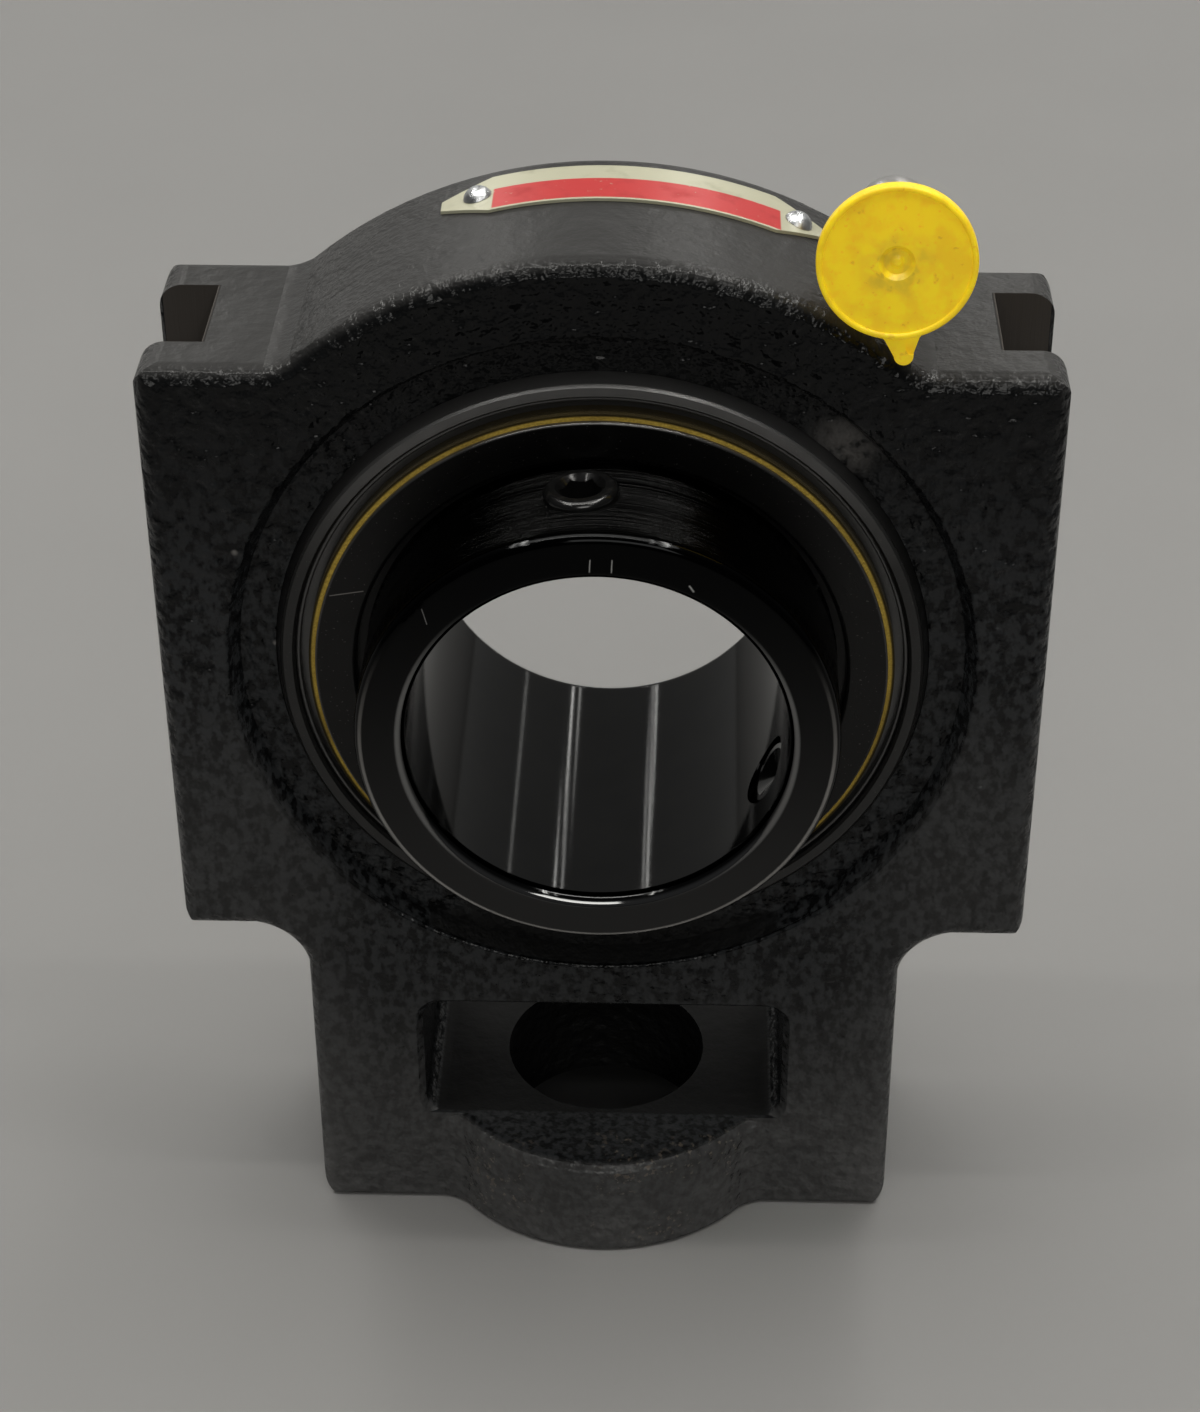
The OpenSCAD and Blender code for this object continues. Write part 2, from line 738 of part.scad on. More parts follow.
// Tab at the cap's lower edge: two straight sides, a round tip and a hollow rounding on the left
module tongue_outline() {
    tip_y = -cap_r - tongue_l + tongue_tip / 2;
    start = [-tongue_root / 2, over - cap_r];
    stop = [-tongue_tip / 2, tip_y];
    along = (stop - start) / norm(stop - start);
    aside = [along.y, -along.x];
    // The hollow's circle touches the side and the disc
    foot = start + tongue_fillet * aside;
    run = sqrt(pow(foot * along, 2) - foot * foot + pow(cap_r + tongue_fillet, 2)) - foot * along;
    centre = foot + run * along;
    polygon([start, stop, [-stop.x, stop.y], [-start.x, start.y]]);
    translate([0, tip_y]) circle(d = tongue_tip);
    difference() {
        polygon([start, start + run * along, centre, centre * (cap_r - over) / norm(centre)]);
        translate(centre) circle(tongue_fillet + fit_play);
    }
}

// Step moulded into the right half of the tongue
module tongue_pocket() {
    corner = 0.7;
    low = [0.3, corner + tongue_tip / 4 - cap_r - tongue_l];
    high = [tongue_root, fit_play - cap_r];
    translate([0, 0, cap_back + cap_t - tongue_step]) linear_extrude(tongue_step + over)
        rounded_rect(low, high, corner);
}

// Dimple with a small point left in its middle
module cap_dimple() {
    face = cap_back + cap_t;
    low = face - cap_dimple_depth;
    point = face - cap_dimple_depth / 2;
    mouth_r = cap_dimple_d / 2;
    point_r = mouth_r / 5;
    rotate_extrude() polygon([
        [0, point], [point_r, point], [2 * point_r, low], [mouth_r - cap_dimple_depth, low], [mouth_r, face],
        [mouth_r, face + over], [0, face + over]
    ]);
}

module fitting_cap() {
    cup_out_r = cup_in_r + cap_cup_wall;
    color([0.86, 0.72, 0.12]) at_nipple() difference() {
        union() {
            rotate_extrude() {
                translate([0, cap_back]) square([cap_r - cap_rim_w / 2, cap_t]);
                rounded_rect([cap_r - cap_rim_w, cap_back], [cap_r, cap_back + cap_t + cap_rim_h], cap_edge);
            }
            translate([0, 0, cap_back - cap_cup_l]) cylinder(r = cup_out_r, h = cap_cup_l + over);
            rotate(tongue_turn) translate([0, 0, cap_back + cap_edge / 2])
                linear_extrude(cap_t - cap_edge) tongue_outline();
        }
        translate([0, 0, cap_back - cap_cup_l - over]) cylinder(r = cup_in_r, h = cap_cup_l + over);
        rotate(tongue_turn) tongue_pocket();
        cap_dimple();
    }
}

// Bearing insert

module lock_pin() {
    color([0.6, 0.6, 0.6]) translate([0, 0, sphere_r - lock_pin_depth + fit_play])
        cylinder(d = lock_pin_d, h = lock_pin_depth + lock_pin_reach - fit_play);
}

module outer_ring() {
    color([0.14, 0.14, 0.15]) difference() {
        about_y() difference() {
            intersection() {
                circle(sphere_r);
                translate([0, -ring_half]) square([sphere_r, outer_ring_w]);
            }
            translate([-over, -ring_half - over]) square([land_r + over, outer_ring_w + 2 * over]);
            for (y = [-ring_half - over, shield_y])
                translate([0, y]) square([lip_r, shield_depth + over]);
            for (r = [lip_r, face_r], y = [-ring_half, ring_half])
                translate([r, y]) rotate(45) square(ring_edge * sqrt(2), center = true);
            translate([pitch_r, 0]) circle(race_r);
            translate([lube_floor_r, lube_y - lube_w / 2]) square([sphere_r, lube_w]);
        }
        translate([0, 0, sphere_r - lock_pin_depth]) cylinder(d = lock_pin_d + 2 * fit_play, h = sphere_r);
        for (angle = [30, 210])
            translate([0, lube_y, 0]) radial(angle) cylinder(d = lube_hole_d, h = sphere_r);
    }
}

// Stamped ring with a lip that is pressed into the outer ring
module shield() {
    color([0.1, 0.1, 0.11]) about_y() {
        translate([collar_r + shield_gap, -shield_y - shield_t])
            square([lip_r - fit_play - collar_r - shield_gap, shield_t]);
        rounded_rect([shield_lip_r, -ring_half + shield_drop], [lip_r - fit_play, -shield_y],
            sheet_round * shield_t);
    }
}

module front_shield() {
    shield();
}

module rear_shield() {
    mirror([0, 1, 0]) shield();
}

// Ring with rounded edges: round_out on the two outer ones, round_in on the two at its bore
module rounded_ring_section(in_r, out_r, low, high, round_out, round_in) {
    difference() {
        translate([in_r, low]) square([out_r - in_r, high - low]);
        corner_waste([out_r, low], [-1, 1], round_out);
        corner_waste([out_r, high], [-1, -1], round_out);
        corner_waste([in_r, low], [1, 1], round_in);
        corner_waste([in_r, high], [1, -1], round_in);
    }
}

module at_set_screw(number) {
    translate([0, set_screw_y, 0]) radial(set_screw_angle - (number - 1) * set_screw_spread) children();
}

module inner_ring() {
    color([0.07, 0.07, 0.08]) difference() {
        about_y() difference() {
            rounded_ring_section(bore_r, collar_r, -collar_front, collar_rear, collar_round, bore_round);
            translate([pitch_r, 0]) circle(race_r);
        }
        for (number = [1, 2])
            at_set_screw(number) cylinder(r = set_screw_r + fit_play, h = collar_r + over);
    }
}

// Dished disc that turns with the inner ring and carries the felt
module flinger() {
    front = -flinger_y - flinger_t;
    color([0.08, 0.08, 0.09]) about_y() difference() {
        union() {
            translate([bend_r - flinger_t, front]) square([flinger_r - bend_r + flinger_t, flinger_t]);
            translate([bend_r - flinger_t, front]) square([flinger_t, flinger_y + flinger_t - hub_y]);
            translate([collar_r + fit_play, -hub_y - flinger_t])
                square([bend_r - collar_r - fit_play, flinger_t]);
        }
        corner_waste([bend_r - flinger_t, front], [1, 1], 2 * sheet_round * flinger_t);
        corner_waste([flinger_r, front], [-1, 1], sheet_round * flinger_t);
    }
}

module front_flinger() {
    flinger();
}

module rear_flinger() {
    mirror([0, 1, 0]) flinger();
}

module felt() {
    color([0.45, 0.38, 0.22]) about_y() translate([bend_r + fit_play, -flinger_y])
        square([felt_r - bend_r - fit_play, felt_t]);
}

module front_felt() {
    felt();
}

module rear_felt() {
    mirror([0, 1, 0]) felt();
}

// Cup point screw with a hex socket
module set_screw(number) {
    tip = bore_r + set_screw_tip;
    top = collar_r + set_screw_proud;
    sink = (set_screw_mouth - set_screw_af) / 2;
    color([0.1, 0.1, 0.11]) at_set_screw(number) difference() {
        rotate_extrude() difference() {
            polygon([
                [0, tip + 2 * set_screw_chamfer], [set_screw_r - 2 * set_screw_chamfer, tip],
                [set_screw_r - set_screw_chamfer, tip], [set_screw_r, tip + set_screw_chamfer],
                [set_screw_r, top], [0, top]
            ]);
            corner_waste([set_screw_r, top], [-1, -1], set_screw_edge);
        }
        translate([0, 0, top - set_screw_socket])
            cylinder(d = set_screw_af / cos(30), h = set_screw_socket + over, $fn = 6);
        translate([0, 0, top - sink])
            cylinder(d1 = set_screw_af, d2 = set_screw_mouth + 2 * over, h = sink + over);
    }
}

module cage() {
    half = ball_r + cage_rim;
    color([0.72, 0.6, 0.3]) difference() {
        about_y() translate([collar_r + cage_gap, -half])
            square([land_r - collar_r - 2 * cage_gap, 2 * half]);
        for (i = [1 : ball_count])
            radial(ball_angle(i)) translate([0, 0, collar_r])
                cylinder(r = ball_r + pocket_play, h = land_r - collar_r);
    }
}

module ball(i) {
    color([0.82, 0.83, 0.85]) radial(ball_angle(i)) translate([0, 0, pitch_r]) sphere(ball_r);
}

housing();
nameplate();
plate_rivets();
grease_fitting();
fitting_spring();
fitting_ball();
fitting_cap();
lock_pin();
outer_ring();
front_shield();
rear_shield();
inner_ring();
front_flinger();
rear_flinger();
front_felt();
rear_felt();
set_screw(1);  // set_screw_1
set_screw(2);  // set_screw_2
cage();
for (i = [1 : ball_count])
    ball(i);
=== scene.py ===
# %% [markdown]
# # Dressing a take-up bearing unit
# The unit is a black painted casting that slides between two rails and carries a ball bearing.
# Its solids come ready made and stay where they are, so this lesson is about light and finishes.
# Each step first says what the real thing looks like and why it is made this way, and then makes it.

# %% Load the solids
import json
import math

import bpy
from mathutils import Matrix, Vector


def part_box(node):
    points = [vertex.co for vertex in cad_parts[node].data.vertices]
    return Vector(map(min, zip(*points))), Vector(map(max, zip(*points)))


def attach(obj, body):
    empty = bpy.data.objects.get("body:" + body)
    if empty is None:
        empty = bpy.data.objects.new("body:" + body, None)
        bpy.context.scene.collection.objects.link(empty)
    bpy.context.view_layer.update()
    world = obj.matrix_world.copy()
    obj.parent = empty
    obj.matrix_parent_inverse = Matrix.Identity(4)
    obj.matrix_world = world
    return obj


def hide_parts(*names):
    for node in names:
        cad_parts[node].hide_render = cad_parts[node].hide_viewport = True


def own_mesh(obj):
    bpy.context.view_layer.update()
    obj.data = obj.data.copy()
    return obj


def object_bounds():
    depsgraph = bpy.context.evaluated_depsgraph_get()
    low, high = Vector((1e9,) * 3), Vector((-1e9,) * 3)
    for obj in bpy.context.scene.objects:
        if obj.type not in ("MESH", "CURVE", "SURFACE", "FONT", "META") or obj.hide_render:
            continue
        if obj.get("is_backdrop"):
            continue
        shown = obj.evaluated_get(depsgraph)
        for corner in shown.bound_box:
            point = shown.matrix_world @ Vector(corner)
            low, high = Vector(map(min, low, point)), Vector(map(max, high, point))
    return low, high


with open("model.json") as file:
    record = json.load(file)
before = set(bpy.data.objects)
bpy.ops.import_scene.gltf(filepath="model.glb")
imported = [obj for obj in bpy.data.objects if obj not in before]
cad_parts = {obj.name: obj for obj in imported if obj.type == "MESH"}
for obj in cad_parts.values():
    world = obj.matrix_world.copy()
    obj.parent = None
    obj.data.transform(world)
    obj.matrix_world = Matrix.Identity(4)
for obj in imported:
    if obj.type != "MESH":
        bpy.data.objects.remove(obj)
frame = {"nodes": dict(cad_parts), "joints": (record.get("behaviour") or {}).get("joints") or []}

MM = 0.001
nodes = frame["nodes"]
cad_low, cad_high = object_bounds()
print("solids:", len(nodes), "box in mm:", [round(side / MM, 1) for side in cad_high - cad_low])

# %% [markdown]
# The picture is taken from arm's length, looking down at the collar's face with a long lens.
# A camera can be aimed with a tracking constraint, but a fitted position and three angles repeat the view
# exactly. The focal length was fitted in pixels, so it is turned into millimetres on the sensor here.

# %% Camera
PHOTO_H = 1412
FOCAL_PX = 3042.2
CAMERA_AT = Vector((11.3, -350.2, 221.1)) * MM
YAW = math.radians(-1.96)
PITCH_DOWN = math.radians(34.06)
ROLL = math.radians(-0.29)
SENSOR_MM = 36
NEAR_CLIP_M = 0.01

lens = bpy.data.cameras.new("photo_camera")
lens.sensor_width = SENSOR_MM
lens.lens = FOCAL_PX / PHOTO_H * SENSOR_MM
lens.clip_start = NEAR_CLIP_M

ahead = Vector((
    math.sin(YAW) * math.cos(PITCH_DOWN),
    math.cos(YAW) * math.cos(PITCH_DOWN),
    -math.sin(PITCH_DOWN),
))
level = Vector((math.cos(YAW), -math.sin(YAW), 0))
upright = level.cross(ahead)
right = level * math.cos(ROLL) + upright * math.sin(ROLL)
top = upright * math.cos(ROLL) - level * math.sin(ROLL)

camera = bpy.data.objects.new("photo_camera", lens)
camera.matrix_world = Matrix.Translation(CAMERA_AT) @ Matrix((right, top, -ahead)).transposed().to_4x4()
bpy.context.scene.collection.objects.link(camera)
bpy.context.scene.camera = camera
print("lens in mm:", round(lens.lens, 2))

# %% [markdown]
# Shader maths is easier to read as Python sums than as a web of nodes.
# A small class wraps one socket, so that 1 - mask adds a Math node by itself.
# A second class holds a material while its nodes are made: every other node comes from its one method.

# %% Sums that make Math nodes
class Value:
    """One number that varies over a surface."""

    def __init__(self, finish, socket):
        self.finish = finish
        self.socket = socket

    def maths(self, operation, *terms):
        return self.finish.node("ShaderNodeMath", {"operation": operation}, dict(enumerate(terms)))

    def __add__(self, other):
        return self.maths("ADD", self, other)

    def __radd__(self, other):
        return self.maths("ADD", other, self)

    def __sub__(self, other):
        return self.maths("SUBTRACT", self, other)

    def __rsub__(self, other):
        return self.maths("SUBTRACT", other, self)

    def __mul__(self, other):
        return self.maths("MULTIPLY", self, other)

    def __rmul__(self, other):
        return self.maths("MULTIPLY", other, self)

    def __pow__(self, other):
        return self.maths("POWER", self, other)

    def __rpow__(self, other):
        return self.maths("POWER", other, self)

    def __abs__(self):
        return self.maths("ABSOLUTE", self)


class Finish:
    """A material while it is being made."""

    def __init__(self, name):
        self.material = bpy.data.materials.new(name)
        self.material.use_nodes = True
        self.tree = self.material.node_tree
        self.shader = self.tree.nodes["Principled BSDF"]

    def feed(self, socket, value):
        if isinstance(value, Value):
            self.tree.links.new(value.socket, socket)
        else:
            socket.default_value = value

    def node(self, kind, settings=None, sockets=None, out=0):
        made = self.tree.nodes.new(kind)
        for name, setting in (settings or {}).items():
            setattr(made, name, setting)
        for name, value in (sockets or {}).items():
            self.feed(made.inputs[name], value)
        return Value(self, made.outputs[out])

    def surface(self, **values):
        for name, value in values.items():
            self.feed(self.shader.inputs[name.replace("_", " ")], value)


# %% [markdown]
# The finishes share a few patterns, all measured in millimetres on the part itself.
# Object coordinates are used and not the camera's, so a mark stays on its piece when the piece turns.
# Noise gives lumps and grain, a distance gives a spot, and a distance from a line gives a scratch.

# %% Patterns
MIX_FACTOR = 0
MIX_FIRST = 6
MIX_SECOND = 7
MIX_COLOUR_OUT = 2
NUMBER_OUT = 1


def place(f):
    """The point on the part, in millimetres."""
    spot_m = f.node("ShaderNodeTexCoord", out="Object")
    return f.node("ShaderNodeVectorMath", {"operation": "SCALE"}, {0: spot_m, "Scale": 1 / MM})


def axes(f, vector):
    """A vector's x, y and z as numbers."""
    split = f.node("ShaderNodeSeparateXYZ", sockets={0: vector}).socket.node
    return [Value(f, socket) for socket in split.outputs]


def from_axis(x, z):
    """The distance from the bore's axis."""
    return (x * x + z * z) ** 0.5


def grain(f, point, size, detail=2.0, stretch=None):
    """Soft noise from 0 to 1, with lumps of about that size."""
    if stretch:
        point = f.node("ShaderNodeVectorMath", {"operation": "MULTIPLY"}, {0: point, 1: stretch})
    return f.node("ShaderNodeTexNoise", sockets={"Vector": point, "Scale": 1 / size, "Detail": detail})


def grooves(f, across, per_mm, detail):
    """Noise that changes along one measure only, such as the distance from an axis."""
    sockets = {"W": across, "Scale": per_mm, "Detail": detail}
    return f.node("ShaderNodeTexNoise", {"noise_dimensions": "1D"}, sockets)


def pebbles(f, point, size, smooth=0.6):
    """Rounded cells, 0 at the middle of each one."""
    sockets = {"Vector": point, "Scale": 1 / size, "Smoothness": smooth}
    return f.node("ShaderNodeTexVoronoi", {"feature": "SMOOTH_F1"}, sockets)


def between(f, value, low, high):
    """0 below low, 1 above high, and soft in between. With low above high it falls instead."""
    settings = {"interpolation_type": "SMOOTHSTEP"}
    return f.node("ShaderNodeMapRange", settings, {"Value": value, "From Min": low, "From Max": high})


def within(f, value, low, high, edge):
    """1 from low to high, with a soft edge at both ends."""
    return between(f, value, low - edge, low + edge) * between(f, value, high + edge, high - edge)


def mix(f, mask, first, second):
    """The first colour where the mask is 0, and the second where it is 1."""
    sockets = {MIX_FACTOR: mask, MIX_FIRST: first, MIX_SECOND: second}
    return f.node("ShaderNodeMix", {"data_type": "RGBA"}, sockets, out=MIX_COLOUR_OUT)


def spot(f, point, centre, radius, edge):
    """1 within the radius of a point on the part, with a soft edge."""
    gap = f.node("ShaderNodeVectorMath", {"operation": "DISTANCE"}, {0: point, 1: centre}, out=NUMBER_OUT)
    return between(f, gap, radius + edge, radius - edge)


def scratch(f, point, start, end, width):
    """1 along a fine line between two points on the part."""
    run = Vector(end) - Vector(start)
    along = run.normalized()
    from_start = f.node("ShaderNodeVectorMath", {"operation": "SUBTRACT"}, {0: point, 1: start})
    dot = {0: from_start, 1: along}
    done = f.node("ShaderNodeVectorMath", {"operation": "DOT_PRODUCT"}, dot, out=NUMBER_OUT)
    aside = f.node("ShaderNodeVectorMath", {"operation": "CROSS_PRODUCT"}, {0: from_start, 1: along})
    gap = f.node("ShaderNodeVectorMath", {"operation": "LENGTH"}, {0: aside}, out=NUMBER_OUT)
    ends = between(f, done, 0, width) * between(f, done, run.length, run.length - width)
    return between(f, gap, width, 0) * ends


def relief(f, height):
    """A normal from a height in millimetres."""
    return f.node("ShaderNodeBump", sockets={"Height": height, "Distance": MM})


def grey(level, warmth=0.0):
    """A nearly neutral colour, warmer above 0 and cooler below."""
    return (level * (1 + warmth), level, level * (1 - warmth), 1)


def dress(finish, *names):
    for name in names:
        nodes[name].data.materials.clear()
        nodes[name].data.materials.append(finish.material)
    print(finish.material.name, "on", ", ".join(names))


# %% [markdown]
# The housing is cast iron under thick black paint. The sand mould leaves lumps of one to two millimetres,
# and the paint rounds them over, so the light breaks into small glints.
# Noise in four sizes and a cell pattern make that skin as bump: real bumps would need millions of faces.
# Paint runs smooth on the top faces and beads on the edges, so the skin follows how far a face looks up.

# %% Cast skin
LUMP_MM = 1.7
CELL_MM = 2.2
BEAD_MM = 0.8
SWELL_MM = 11.0
PORE_MM = 0.45

paint = Finish("cast_paint")
spot_mm = place(paint)
x, y, z = axes(paint, spot_mm)
upward = axes(paint, paint.node("ShaderNodeTexCoord", out="Normal"))[2]
flat_top = between(paint, upward, 0.7, 0.97)
on_edge = between(paint, upward, 0.1, 0.4) * (1 - between(paint, upward, 0.85, 0.98))

lump = grain(paint, spot_mm, LUMP_MM)
cell = pebbles(paint, spot_mm, CELL_MM)
beads = grain(paint, spot_mm, BEAD_MM, detail=1.0)
swell = grain(paint, spot_mm, SWELL_MM, detail=1.0)
pores = grain(paint, spot_mm, PORE_MM, detail=1.0)
skin = (0.8 * lump + 0.4 * cell) * (1 - 0.85 * flat_top) * (1 - 0.45 * on_edge)
skin = skin + 0.2 * beads * on_edge + 0.5 * swell + 0.03 * pores
print("nodes for the skin:", len(paint.tree.nodes))

# %% [markdown]
# The guide slots are machined, so their walls are flat and show a brownish bare skin with milling marks.
# The faces could have a second material, but a mask from the slot's sizes needs no picking of faces.

# %% Machined slots
SLOT_FLOOR_X = 50.5
SLOT_HALF_W = 8.0
MILLING_MM = 0.5
MILLING_UP = 0.06

in_slot = between(paint, abs(x), SLOT_FLOOR_X - 0.4, SLOT_FLOOR_X - 0.1)
in_slot = in_slot * between(paint, abs(y), SLOT_HALF_W + 0.1, SLOT_HALF_W + 0.02)
milling = grain(paint, spot_mm, MILLING_MM, stretch=(1, 1, 0.03))
height = skin * (1 - in_slot) + MILLING_UP * milling * in_slot
print("slot floors at mm:", -SLOT_FLOOR_X, SLOT_FLOOR_X)

# %% [markdown]
# Handling has marked the paint. The larger marks are placed one by one: a rubbed patch and a fleck in the
# recess, a chip on the front, and a tick and a pit on top. Masks spread the rest: pale dust on the boss, a
# painted sheen on the upper faces, and a grey film of dust and painted light low down on the front and back.
# The pocket is duller and darkened with painted shade.
# A painted picture could hold all of it, but masks in millimetres stay sharp from any distance.

# %% Marks and dirt on the paint
FACE_Y = -15.875
RECESS_FLOOR_Y = -12.7
BOSS_FROM_Z = -70
POCKET_HALF_W = 24.5
POCKET_MOUTH_Y = 15.6
POCKET_TOP_Z = -40

rub = spot(paint, spot_mm, (31.2, RECESS_FLOOR_Y, 33.4), 3.6, 2.6) * between(paint, lump, 0.3, 0.55)
fleck = spot(paint, spot_mm, (-43.3, RECESS_FLOOR_Y, 2.2), 0.3, 0.2)
chip = spot(paint, spot_mm, (-47.2, FACE_Y, 18.0), 0.35, 0.25)
tick = scratch(paint, spot_mm, (-15.1, -10.0, 57.9), (-14.2, -12.8, 58.0), 0.35)
pit = spot(paint, spot_mm, (-38.2, -0.2, 45.8), 0.35, 0.15)

on_boss = between(paint, z, BOSS_FROM_Z, BOSS_FROM_Z - 8) * between(paint, y, FACE_Y - 1, FACE_Y - 4)
patchy = between(paint, grain(paint, spot_mm, 8.0, detail=1.0), 0.45, 0.65)
dust = between(paint, grain(paint, spot_mm, 0.9, detail=3.0), 0.56, 0.7) * on_boss * patchy
# Painted sheen: upward faces high on the casting are paler, for the light they catch from above.
upward_painted_sheen = between(paint, upward, 0.35, 0.9) * between(paint, z, -20, 10)

outside = between(paint, abs(y), abs(FACE_Y) - 2, abs(FACE_Y) - 0.5) * (1 - flat_top)
low_sides = between(paint, z, 5, -30) * between(paint, abs(x), 28, 46)
# Partly dust and partly painted light: the outer faces are paler low down.
low_dust_and_painted_light = (between(paint, z, -45, -95) + 0.38 * low_sides) * outside * (0.4 + 0.6 * swell)

# Painted shade: the pocket is darkened, and it is also made duller.
in_pocket = between(paint, abs(x), POCKET_HALF_W, POCKET_HALF_W - 0.5)
in_pocket = in_pocket * between(paint, abs(y), POCKET_MOUTH_Y, POCKET_MOUTH_Y - 0.6)
in_pocket = in_pocket * between(paint, z, POCKET_TOP_Z, POCKET_TOP_Z - 4)
print("nodes with the marks:", len(paint.tree.nodes))

# %% [markdown]
# The colours are laid over one another, from the paint up to the marks, and each is mixed in by its mask.
# Each could be a material of its own, but a chain of mixes keeps the soft edges and reads from top to bottom.
# A noise a little finer than the lumps mottles the paint, and painted shade blackens the front near the
# arch's top.
# Old paint reflects less than fresh lacquer, so the specular level is low.

# %% Paint colours
BLACK_PAINT = grey(0.004, -0.06)
LOW_FRONT_PAINTED_LIGHT = grey(0.026, -0.06)
TOP_PAINTED_SHEEN = grey(0.029, 0.02)
LOW_DUST_AND_PAINTED_LIGHT = grey(0.09, 0.01)
POCKET_PAINTED_SHADE = grey(0.006)
SLOT_BROWN = (0.05, 0.044, 0.039, 1)
RUBBED = grey(0.085, 0.05)
BOSS_DUST = (0.16, 0.13, 0.1, 1)
BARE_IRON = grey(0.14, 0.05)
PIT_BLACK = grey(0.003)

# Painted light and shade: the front is paler low down and blacker towards the top of the arch.
front_painted_shading = mix(paint, between(paint, z, 0, 50), LOW_FRONT_PAINTED_LIGHT, BLACK_PAINT)
crest = grain(paint, spot_mm, 1.1, stretch=(1, 1, 0.7))
colour = mix(paint, between(paint, crest, 0.38, 0.62), BLACK_PAINT, front_painted_shading)
# Painted sheen on the upper faces.
colour = mix(paint, upward_painted_sheen, colour, TOP_PAINTED_SHEEN)
# Dust and painted light low down on the front and back.
colour = mix(paint, low_dust_and_painted_light * (0.6 + 0.8 * crest), colour, LOW_DUST_AND_PAINTED_LIGHT)
# Painted shade in the pocket.
colour = mix(paint, in_pocket, colour, POCKET_PAINTED_SHADE)
colour = mix(paint, in_slot, colour, SLOT_BROWN)
colour = mix(paint, rub * 0.9, colour, RUBBED)
colour = mix(paint, dust * 0.6, colour, BOSS_DUST)
colour = mix(paint, chip + fleck, colour, BARE_IRON)
colour = mix(paint, tick + pit, colour, PIT_BLACK)
rough = 0.14 + 0.08 * swell + 0.08 * pores + 0.12 * flat_top
rough = rough + 0.25 * in_slot + 0.2 * rub + 0.2 * dust + 0.35 * in_pocket
paint.surface(Base_Color=colour, Roughness=rough, Normal=relief(paint, height), Specular_IOR_Level=0.18)
dress(paint, "housing")

# %% [markdown]
# The inner ring is ground steel with a glossy black oxide. Grinding leaves rings too fine to see one by one,
# which still stretch the highlights, so a noise that changes only with radius and depth makes them.
# The shader's anisotropy could stretch them too, but it needs a tangent that follows each turned face.
# The bore is smoother and mirrors the lamps. Painted highlights brighten the lower rim of the face and the
# lower lip of the bore, painted light and shade make the face blacker at the top and paler low down, and a
# few knocks are bright steel. A black oxide stays dark at a glancing angle, where bare steel would turn
# white, so the edge tint is lowered.

# %% Ground and blackened collar
SIDE_R = 31.0
RIM_R = 30.3
LIP_R = 25.5
GROUND_PER_MM = 18.0
BORE_GROOVE_UP = 0.0008
SIDE_GROOVE_UP = 0.04

collar_low, collar_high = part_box("inner_ring")
front_y = collar_low.y / MM
back_y = collar_high.y / MM
knocks = [
    ((-0.7, front_y, 27.9), (-0.8, front_y, 25.9), 0.13, 1.0),
    ((2.0, front_y, 27.9), (1.9, front_y, 25.9), 0.13, 1.0),
    ((11.4, front_y, 24.4), (12.1, front_y, 23.3), 0.2, 1.0),
    ((-21.6, front_y, 20.5), (-21.0, front_y, 18.1), 0.12, 0.4),
    ((22.6, -18.2, 21.3), (23.3, -20.2, 20.6), 0.15, 0.5),
]

oxide = Finish("collar_black_oxide")
spot_mm = place(oxide)
x, y, z = axes(oxide, spot_mm)
radius = from_axis(x, z)
clouds = grain(oxide, spot_mm, 7.0)
dirt = between(oxide, grain(oxide, spot_mm, 0.5, detail=1.0), 0.7, 0.78)
on_face = between(oxide, y, front_y + 1.0, front_y + 0.3)
on_side = between(oxide, radius, SIDE_R - 0.4, SIDE_R) * between(oxide, y, front_y + 1.2, front_y + 2.2)
rim_painted_highlight = between(oxide, abs(radius - RIM_R), 0.35, 0.1) * on_face * between(oxide, z, 15, -10)
lip_painted_highlight = between(oxide, abs(radius - LIP_R), 0.5, 0.1) * between(oxide, y, front_y + 1.8, front_y + 0.4)
grease = spot(oxide, spot_mm, (10.0, back_y, -22.6), 0.9, 0.3)
bright = 0
for start, end, width, strength in knocks:
    bright = bright + strength * scratch(oxide, spot_mm, start, end, width)

colour = mix(oxide, clouds, grey(0.018, -0.03), grey(0.024))
# Painted light and shade: the face is blacker at the top and paler low down.
face_painted_shading = mix(oxide, between(oxide, z, 28, -30), grey(0.006, -0.03), grey(0.036))
colour = mix(oxide, on_side, colour, grey(0.009))
colour = mix(oxide, on_face, colour, face_painted_shading)
# Painted highlight: a pale line along the lower rim of the face.
colour = mix(oxide, rim_painted_highlight * (0.4 + 0.6 * clouds), colour, grey(0.4, 0.03))
# Painted highlight: a pale line along the lower lip of the bore.
colour = mix(oxide, lip_painted_highlight * between(oxide, z, 22, 5), colour, grey(0.2))
colour = mix(oxide, bright, colour, grey(0.45))
colour = mix(oxide, grease, colour, grey(0.004))
rough = 0.05 + 0.03 * clouds + 0.06 * dirt + 0.5 * grease
rings = grooves(oxide, radius + y, GROUND_PER_MM, 0.0)
ground = (BORE_GROOVE_UP + SIDE_GROOVE_UP * on_side) * rings
oxide.surface(Base_Color=colour, Roughness=rough, Normal=relief(oxide, ground))
oxide.surface(Metallic=1.0, Specular_Tint=grey(0.74))
dress(oxide, "inner_ring")

# %% [markdown]
# The outer ring, the shields and the flingers carry a duller oxide than the collar, with a painted highlight
# round the outer edge. Painted light makes the ring and the shields paler towards the top, and painted shade
# makes the flingers darker there.
# One function makes all three, because only the depth of the black, the gloss and the marks differ.

# %% Satin blackened steel
TOP_FROM_Z = 12
TOP_FULL_Z = 40
EDGE_HIGHLIGHT_MM = 0.35


